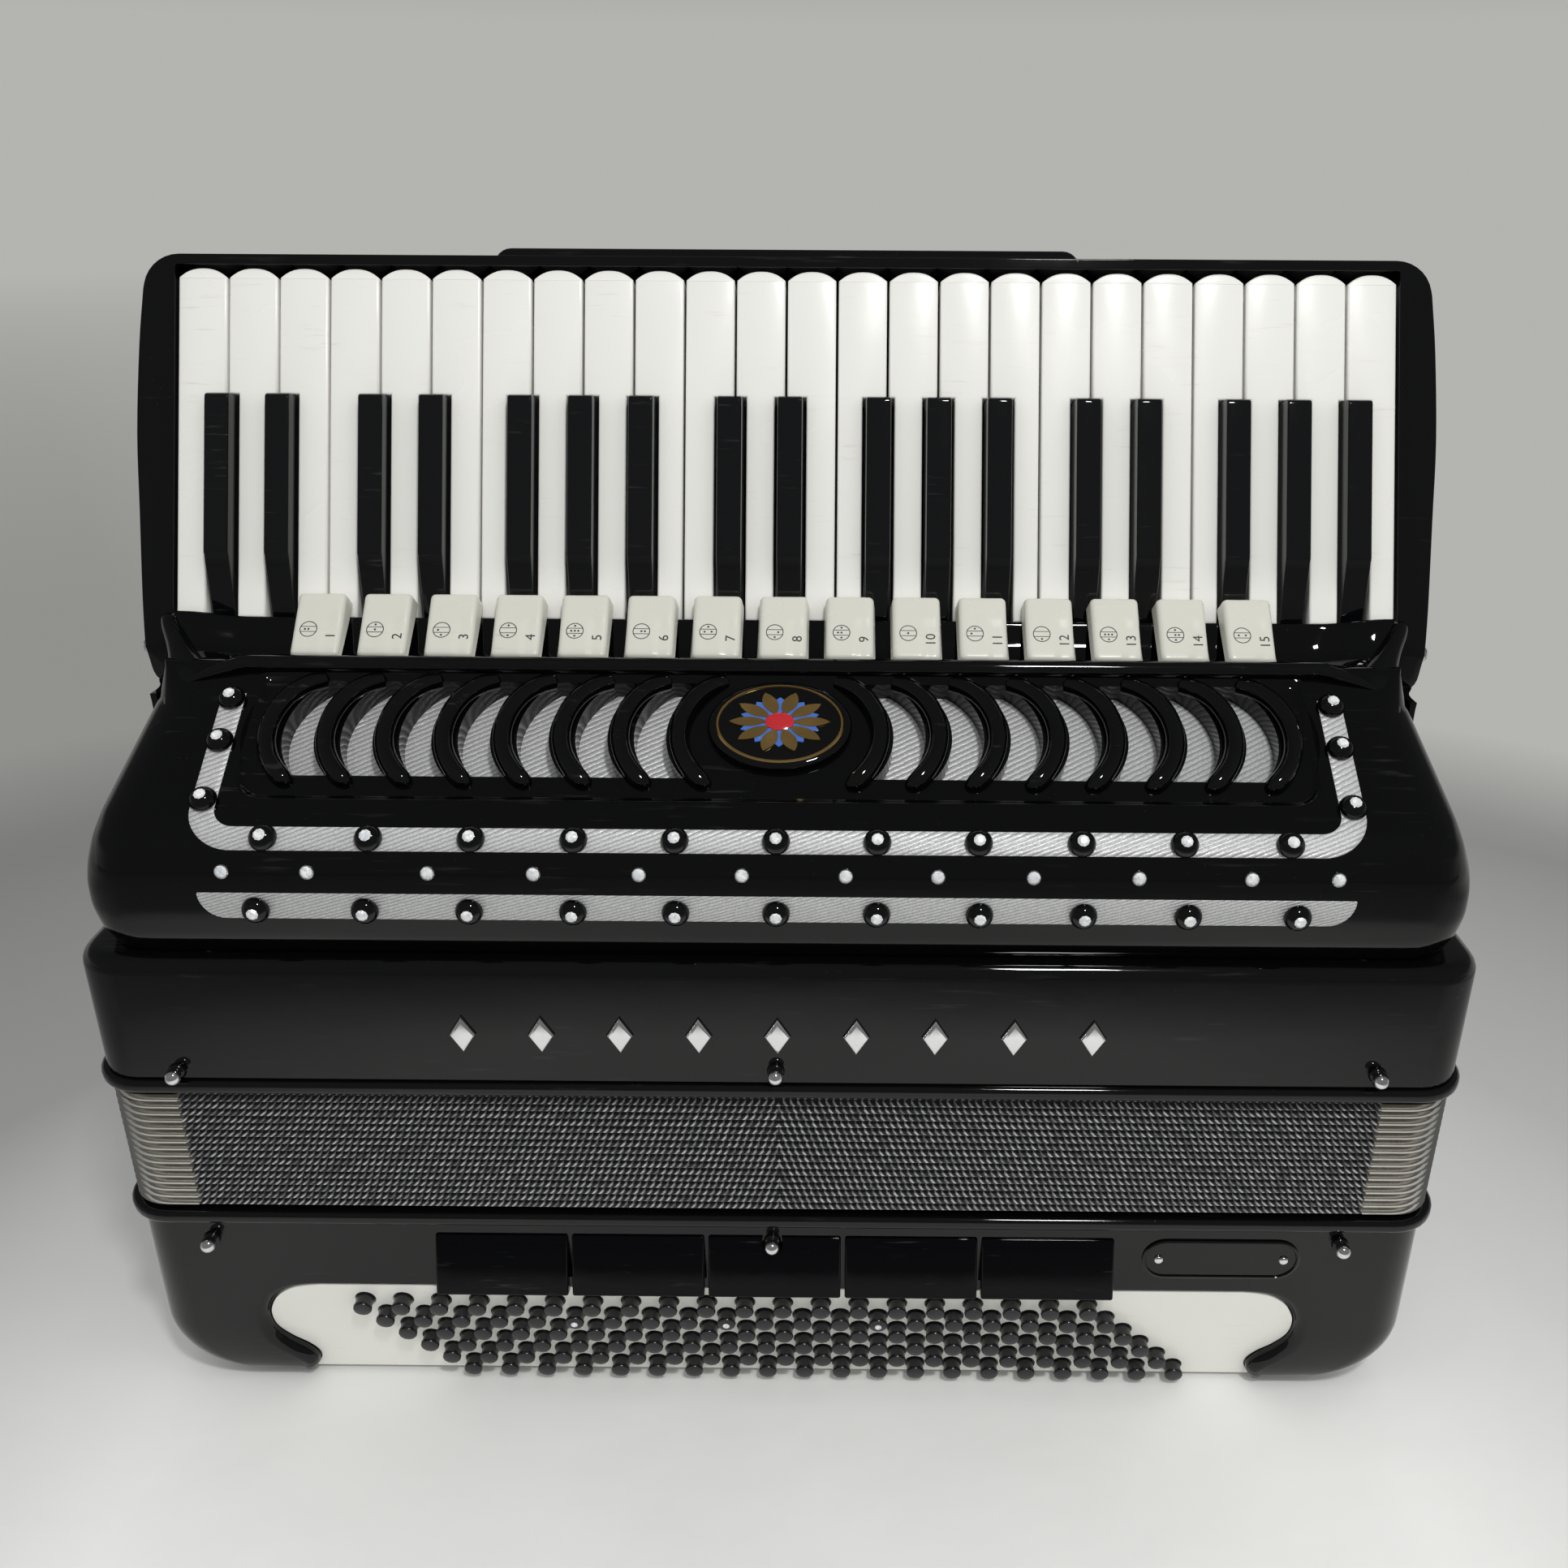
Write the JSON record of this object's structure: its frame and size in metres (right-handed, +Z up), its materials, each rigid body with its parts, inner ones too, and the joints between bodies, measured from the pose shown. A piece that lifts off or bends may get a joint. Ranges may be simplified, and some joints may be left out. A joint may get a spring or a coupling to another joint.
{
  "type": "piano accordion",
  "caption": "Piano accordion standing on the feet of its bass end, with sprung piano keys, register tabs, bass buttons and register bars, and bellows that open upwards.",
  "frame": {"origin": "middle of the accordion's box, on the surface that its feet stand on", "axes": "+X along the keyboard from the high notes to the low notes, +Y to the player's side, +Z up, the way the bellows open"},
  "size_m": [0.521, 0.2018, 0.4347],
  "materials": {
    "lacquer": "gloss black celluloid over wood",
    "ivory": "polished ivory-white plastic",
    "ebony": "polished black plastic",
    "reed_wood": "bare wood",
    "bellows_cloth": "black cloth with silver fleck",
    "silver_cloth": "ribbed silver cloth",
    "steel": "drawn steel rod"
  },
  "bodies": {
    "bass": {"bass_case": "lacquer", "bass_plate": "lacquer", "button_board": "ivory", "bass_reed_block": "reed_wood", "bellows_frame_bass": "lacquer", "bellows": "bellows_cloth"},
    "treble": {"treble_case": "lacquer", "treble_cover": "lacquer", "grille_cloth": "silver_cloth", "keyboard_bed": "lacquer", "key_axle": "steel", "treble_reed_block": "reed_wood", "bellows_frame_treble": "lacquer"},
    "bass_notes": {"bass_note_buttons": "ebony"},
    "chords": {"chord_buttons": "ebony"},
    "bass_registers": {"bass_register_bars": "ebony"},
    "air": {"air_button": "ebony"},
    "registers": {"register_switches": "ivory"},
    "palm": {"palm_switch": "ebony"},
    "white_key_01": {"white_key_01": "ivory"},
    "white_key_02": {"white_key_02": "ivory"},
    "white_key_03": {"white_key_03": "ivory"},
    "white_key_04": {"white_key_04": "ivory"},
    "white_key_05": {"white_key_05": "ivory"},
    "white_key_06": {"white_key_06": "ivory"},
    "white_key_07": {"white_key_07": "ivory"},
    "white_key_08": {"white_key_08": "ivory"},
    "white_key_09": {"white_key_09": "ivory"},
    "white_key_10": {"white_key_10": "ivory"},
    "white_key_11": {"white_key_11": "ivory"},
    "white_key_12": {"white_key_12": "ivory"},
    "white_key_13": {"white_key_13": "ivory"},
    "white_key_14": {"white_key_14": "ivory"},
    "white_key_15": {"white_key_15": "ivory"},
    "white_key_16": {"white_key_16": "ivory"},
    "white_key_17": {"white_key_17": "ivory"},
    "white_key_18": {"white_key_18": "ivory"},
    "white_key_19": {"white_key_19": "ivory"},
    "white_key_20": {"white_key_20": "ivory"},
    "white_key_21": {"white_key_21": "ivory"},
    "white_key_22": {"white_key_22": "ivory"},
    "white_key_23": {"white_key_23": "ivory"},
    "white_key_24": {"white_key_24": "ivory"},
    "black_key_01": {"black_key_01": "ebony"},
    "black_key_02": {"black_key_02": "ebony"},
    "black_key_03": {"black_key_03": "ebony"},
    "black_key_04": {"black_key_04": "ebony"},
    "black_key_05": {"black_key_05": "ebony"},
    "black_key_06": {"black_key_06": "ebony"},
    "black_key_07": {"black_key_07": "ebony"},
    "black_key_08": {"black_key_08": "ebony"},
    "black_key_09": {"black_key_09": "ebony"},
    "black_key_10": {"black_key_10": "ebony"},
    "black_key_11": {"black_key_11": "ebony"},
    "black_key_12": {"black_key_12": "ebony"},
    "black_key_13": {"black_key_13": "ebony"},
    "black_key_14": {"black_key_14": "ebony"},
    "black_key_15": {"black_key_15": "ebony"},
    "black_key_16": {"black_key_16": "ebony"},
    "black_key_17": {"black_key_17": "ebony"}
  },
  "joints": [
    {"name": "bellows_open", "type": "slide", "parent": "bass", "child": "treble", "axis": [0, 0, 1], "range_m": [0, 0.35], "deforming": ["bellows"]},
    {"name": "bass_note_press", "type": "slide", "parent": "bass", "child": "bass_notes", "axis": [0, 0.9848, 0.1736], "range_m": [0, 0.0042], "stiffness_N_per_m": 900, "springref_m": -0.004},
    {"name": "chord_press", "type": "slide", "parent": "bass", "child": "chords", "axis": [0, 0.9848, 0.1736], "range_m": [0, 0.0042], "stiffness_N_per_m": 1200, "springref_m": -0.004},
    {"name": "bass_register_press", "type": "hinge", "parent": "bass", "child": "bass_registers", "pos_m": [-0.0022, -0.0916, 0.079], "axis": [1, 0, 0], "range_deg": [0, 7], "stiffness_Nm_per_rad": 0.6, "springref_deg": -6.88},
    {"name": "air_press", "type": "slide", "parent": "bass", "child": "air", "axis": [0, -1, 0], "range_m": [0, 0.004], "stiffness_N_per_m": 300, "springref_m": -0.004},
    {"name": "palm_press", "type": "slide", "parent": "treble", "child": "palm", "axis": [0, -0.4067, -0.9135], "range_m": [0, 0.004], "stiffness_N_per_m": 600, "springref_m": -0.005},
    {"name": "register_rock", "type": "hinge", "parent": "treble", "child": "registers", "pos_m": [0, -0.00281, 0.29249], "axis": [1, 0, 0], "range_deg": [0, 4], "stiffness_Nm_per_rad": 0.8, "springref_deg": -5.73},
    {"name": "white_key_01_press", "type": "hinge", "parent": "treble", "child": "white_key_01", "pos_m": [-0.23, 0.00832, 0.29124], "axis": [-1, 0, 0], "range_deg": [0, 1.7], "stiffness_Nm_per_rad": 1.5, "springref_deg": -4.58},
    {"name": "black_key_01_press", "type": "hinge", "parent": "treble", "child": "black_key_01", "pos_m": [-0.2218, 0.00832, 0.29124], "axis": [-1, 0, 0], "range_deg": [0, 1.7], "stiffness_Nm_per_rad": 1.5, "springref_deg": -4.58},
    {"name": "white_key_02_press", "type": "hinge", "parent": "treble", "child": "white_key_02", "pos_m": [-0.21, 0.00832, 0.29124], "axis": [-1, 0, 0], "range_deg": [0, 1.7], "stiffness_Nm_per_rad": 1.5, "springref_deg": -4.58},
    {"name": "black_key_02_press", "type": "hinge", "parent": "treble", "child": "black_key_02", "pos_m": [-0.1982, 0.00832, 0.29124], "axis": [-1, 0, 0], "range_deg": [0, 1.7], "stiffness_Nm_per_rad": 1.5, "springref_deg": -4.58},
    {"name": "white_key_03_press", "type": "hinge", "parent": "treble", "child": "white_key_03", "pos_m": [-0.19, 0.00832, 0.29124], "axis": [-1, 0, 0], "range_deg": [0, 1.7], "stiffness_Nm_per_rad": 1.5, "springref_deg": -4.58},
    {"name": "white_key_04_press", "type": "hinge", "parent": "treble", "child": "white_key_04", "pos_m": [-0.17, 0.00832, 0.29124], "axis": [-1, 0, 0], "range_deg": [0, 1.7], "stiffness_Nm_per_rad": 1.5, "springref_deg": -4.58},
    {"name": "black_key_03_press", "type": "hinge", "parent": "treble", "child": "black_key_03", "pos_m": [-0.1618, 0.00832, 0.29124], "axis": [-1, 0, 0], "range_deg": [0, 1.7], "stiffness_Nm_per_rad": 1.5, "springref_deg": -4.58},
    {"name": "white_key_05_press", "type": "hinge", "parent": "treble", "child": "white_key_05", "pos_m": [-0.15, 0.00832, 0.29124], "axis": [-1, 0, 0], "range_deg": [0, 1.7], "stiffness_Nm_per_rad": 1.5, "springref_deg": -4.58},
    {"name": "black_key_04_press", "type": "hinge", "parent": "treble", "child": "black_key_04", "pos_m": [-0.1382, 0.00832, 0.29124], "axis": [-1, 0, 0], "range_deg": [0, 1.7], "stiffness_Nm_per_rad": 1.5, "springref_deg": -4.58},
    {"name": "white_key_06_press", "type": "hinge", "parent": "treble", "child": "white_key_06", "pos_m": [-0.13, 0.00832, 0.29124], "axis": [-1, 0, 0], "range_deg": [0, 1.7], "stiffness_Nm_per_rad": 1.5, "springref_deg": -4.58},
    {"name": "white_key_07_press", "type": "hinge", "parent": "treble", "child": "white_key_07", "pos_m": [-0.11, 0.00832, 0.29124], "axis": [-1, 0, 0], "range_deg": [0, 1.7], "stiffness_Nm_per_rad": 1.5, "springref_deg": -4.58},
    {"name": "black_key_05_press", "type": "hinge", "parent": "treble", "child": "black_key_05", "pos_m": [-0.1036, 0.00832, 0.29124], "axis": [-1, 0, 0], "range_deg": [0, 1.7], "stiffness_Nm_per_rad": 1.5, "springref_deg": -4.58},
    {"name": "white_key_08_press", "type": "hinge", "parent": "treble", "child": "white_key_08", "pos_m": [-0.09, 0.00832, 0.29124], "axis": [-1, 0, 0], "range_deg": [0, 1.7], "stiffness_Nm_per_rad": 1.5, "springref_deg": -4.58},
    {"name": "black_key_06_press", "type": "hinge", "parent": "treble", "child": "black_key_06", "pos_m": [-0.08, 0.00832, 0.29124], "axis": [-1, 0, 0], "range_deg": [0, 1.7], "stiffness_Nm_per_rad": 1.5, "springref_deg": -4.58},
    {"name": "white_key_09_press", "type": "hinge", "parent": "treble", "child": "white_key_09", "pos_m": [-0.07, 0.00832, 0.29124], "axis": [-1, 0, 0], "range_deg": [0, 1.7], "stiffness_Nm_per_rad": 1.5, "springref_deg": -4.58},
    {"name": "black_key_07_press", "type": "hinge", "parent": "treble", "child": "black_key_07", "pos_m": [-0.0564, 0.00832, 0.29124], "axis": [-1, 0, 0], "range_deg": [0, 1.7], "stiffness_Nm_per_rad": 1.5, "springref_deg": -4.58},
    {"name": "white_key_10_press", "type": "hinge", "parent": "treble", "child": "white_key_10", "pos_m": [-0.05, 0.00832, 0.29124], "axis": [-1, 0, 0], "range_deg": [0, 1.7], "stiffness_Nm_per_rad": 1.5, "springref_deg": -4.58},
    {"name": "white_key_11_press", "type": "hinge", "parent": "treble", "child": "white_key_11", "pos_m": [-0.03, 0.00832, 0.29124], "axis": [-1, 0, 0], "range_deg": [0, 1.7], "stiffness_Nm_per_rad": 1.5, "springref_deg": -4.58},
    {"name": "black_key_08_press", "type": "hinge", "parent": "treble", "child": "black_key_08", "pos_m": [-0.0218, 0.00832, 0.29124], "axis": [-1, 0, 0], "range_deg": [0, 1.7], "stiffness_Nm_per_rad": 1.5, "springref_deg": -4.58},
    {"name": "white_key_12_press", "type": "hinge", "parent": "treble", "child": "white_key_12", "pos_m": [-0.01, 0.00832, 0.29124], "axis": [-1, 0, 0], "range_deg": [0, 1.7], "stiffness_Nm_per_rad": 1.5, "springref_deg": -4.58},
    {"name": "black_key_09_press", "type": "hinge", "parent": "treble", "child": "black_key_09", "pos_m": [0.0018, 0.00832, 0.29124], "axis": [-1, 0, 0], "range_deg": [0, 1.7], "stiffness_Nm_per_rad": 1.5, "springref_deg": -4.58},
    {"name": "white_key_13_press", "type": "hinge", "parent": "treble", "child": "white_key_13", "pos_m": [0.01, 0.00832, 0.29124], "axis": [-1, 0, 0], "range_deg": [0, 1.7], "stiffness_Nm_per_rad": 1.5, "springref_deg": -4.58},
    {"name": "white_key_14_press", "type": "hinge", "parent": "treble", "child": "white_key_14", "pos_m": [0.03, 0.00832, 0.29124], "axis": [-1, 0, 0], "range_deg": [0, 1.7], "stiffness_Nm_per_rad": 1.5, "springref_deg": -4.58},
    {"name": "black_key_10_press", "type": "hinge", "parent": "treble", "child": "black_key_10", "pos_m": [0.0364, 0.00832, 0.29124], "axis": [-1, 0, 0], "range_deg": [0, 1.7], "stiffness_Nm_per_rad": 1.5, "springref_deg": -4.58},
    {"name": "white_key_15_press", "type": "hinge", "parent": "treble", "child": "white_key_15", "pos_m": [0.05, 0.00832, 0.29124], "axis": [-1, 0, 0], "range_deg": [0, 1.7], "stiffness_Nm_per_rad": 1.5, "springref_deg": -4.58},
    {"name": "black_key_11_press", "type": "hinge", "parent": "treble", "child": "black_key_11", "pos_m": [0.06, 0.00832, 0.29124], "axis": [-1, 0, 0], "range_deg": [0, 1.7], "stiffness_Nm_per_rad": 1.5, "springref_deg": -4.58},
    {"name": "white_key_16_press", "type": "hinge", "parent": "treble", "child": "white_key_16", "pos_m": [0.07, 0.00832, 0.29124], "axis": [-1, 0, 0], "range_deg": [0, 1.7], "stiffness_Nm_per_rad": 1.5, "springref_deg": -4.58},
    {"name": "black_key_12_press", "type": "hinge", "parent": "treble", "child": "black_key_12", "pos_m": [0.0836, 0.00832, 0.29124], "axis": [-1, 0, 0], "range_deg": [0, 1.7], "stiffness_Nm_per_rad": 1.5, "springref_deg": -4.58},
    {"name": "white_key_17_press", "type": "hinge", "parent": "treble", "child": "white_key_17", "pos_m": [0.09, 0.00832, 0.29124], "axis": [-1, 0, 0], "range_deg": [0, 1.7], "stiffness_Nm_per_rad": 1.5, "springref_deg": -4.58},
    {"name": "white_key_18_press", "type": "hinge", "parent": "treble", "child": "white_key_18", "pos_m": [0.11, 0.00832, 0.29124], "axis": [-1, 0, 0], "range_deg": [0, 1.7], "stiffness_Nm_per_rad": 1.5, "springref_deg": -4.58},
    {"name": "black_key_13_press", "type": "hinge", "parent": "treble", "child": "black_key_13", "pos_m": [0.1182, 0.00832, 0.29124], "axis": [-1, 0, 0], "range_deg": [0, 1.7], "stiffness_Nm_per_rad": 1.5, "springref_deg": -4.58},
    {"name": "white_key_19_press", "type": "hinge", "parent": "treble", "child": "white_key_19", "pos_m": [0.13, 0.00832, 0.29124], "axis": [-1, 0, 0], "range_deg": [0, 1.7], "stiffness_Nm_per_rad": 1.5, "springref_deg": -4.58},
    {"name": "black_key_14_press", "type": "hinge", "parent": "treble", "child": "black_key_14", "pos_m": [0.1418, 0.00832, 0.29124], "axis": [-1, 0, 0], "range_deg": [0, 1.7], "stiffness_Nm_per_rad": 1.5, "springref_deg": -4.58},
    {"name": "white_key_20_press", "type": "hinge", "parent": "treble", "child": "white_key_20", "pos_m": [0.15, 0.00832, 0.29124], "axis": [-1, 0, 0], "range_deg": [0, 1.7], "stiffness_Nm_per_rad": 1.5, "springref_deg": -4.58},
    {"name": "white_key_21_press", "type": "hinge", "parent": "treble", "child": "white_key_21", "pos_m": [0.17, 0.00832, 0.29124], "axis": [-1, 0, 0], "range_deg": [0, 1.7], "stiffness_Nm_per_rad": 1.5, "springref_deg": -4.58},
    {"name": "black_key_15_press", "type": "hinge", "parent": "treble", "child": "black_key_15", "pos_m": [0.1764, 0.00832, 0.29124], "axis": [-1, 0, 0], "range_deg": [0, 1.7], "stiffness_Nm_per_rad": 1.5, "springref_deg": -4.58},
    {"name": "white_key_22_press", "type": "hinge", "parent": "treble", "child": "white_key_22", "pos_m": [0.19, 0.00832, 0.29124], "axis": [-1, 0, 0], "range_deg": [0, 1.7], "stiffness_Nm_per_rad": 1.5, "springref_deg": -4.58},
    {"name": "black_key_16_press", "type": "hinge", "parent": "treble", "child": "black_key_16", "pos_m": [0.2, 0.00832, 0.29124], "axis": [-1, 0, 0], "range_deg": [0, 1.7], "stiffness_Nm_per_rad": 1.5, "springref_deg": -4.58},
    {"name": "white_key_23_press", "type": "hinge", "parent": "treble", "child": "white_key_23", "pos_m": [0.21, 0.00832, 0.29124], "axis": [-1, 0, 0], "range_deg": [0, 1.7], "stiffness_Nm_per_rad": 1.5, "springref_deg": -4.58},
    {"name": "black_key_17_press", "type": "hinge", "parent": "treble", "child": "black_key_17", "pos_m": [0.2236, 0.00832, 0.29124], "axis": [-1, 0, 0], "range_deg": [0, 1.7], "stiffness_Nm_per_rad": 1.5, "springref_deg": -4.58},
    {"name": "white_key_24_press", "type": "hinge", "parent": "treble", "child": "white_key_24", "pos_m": [0.23, 0.00832, 0.29124], "axis": [-1, 0, 0], "range_deg": [0, 1.7], "stiffness_Nm_per_rad": 1.5, "springref_deg": -4.58}
  ]
}
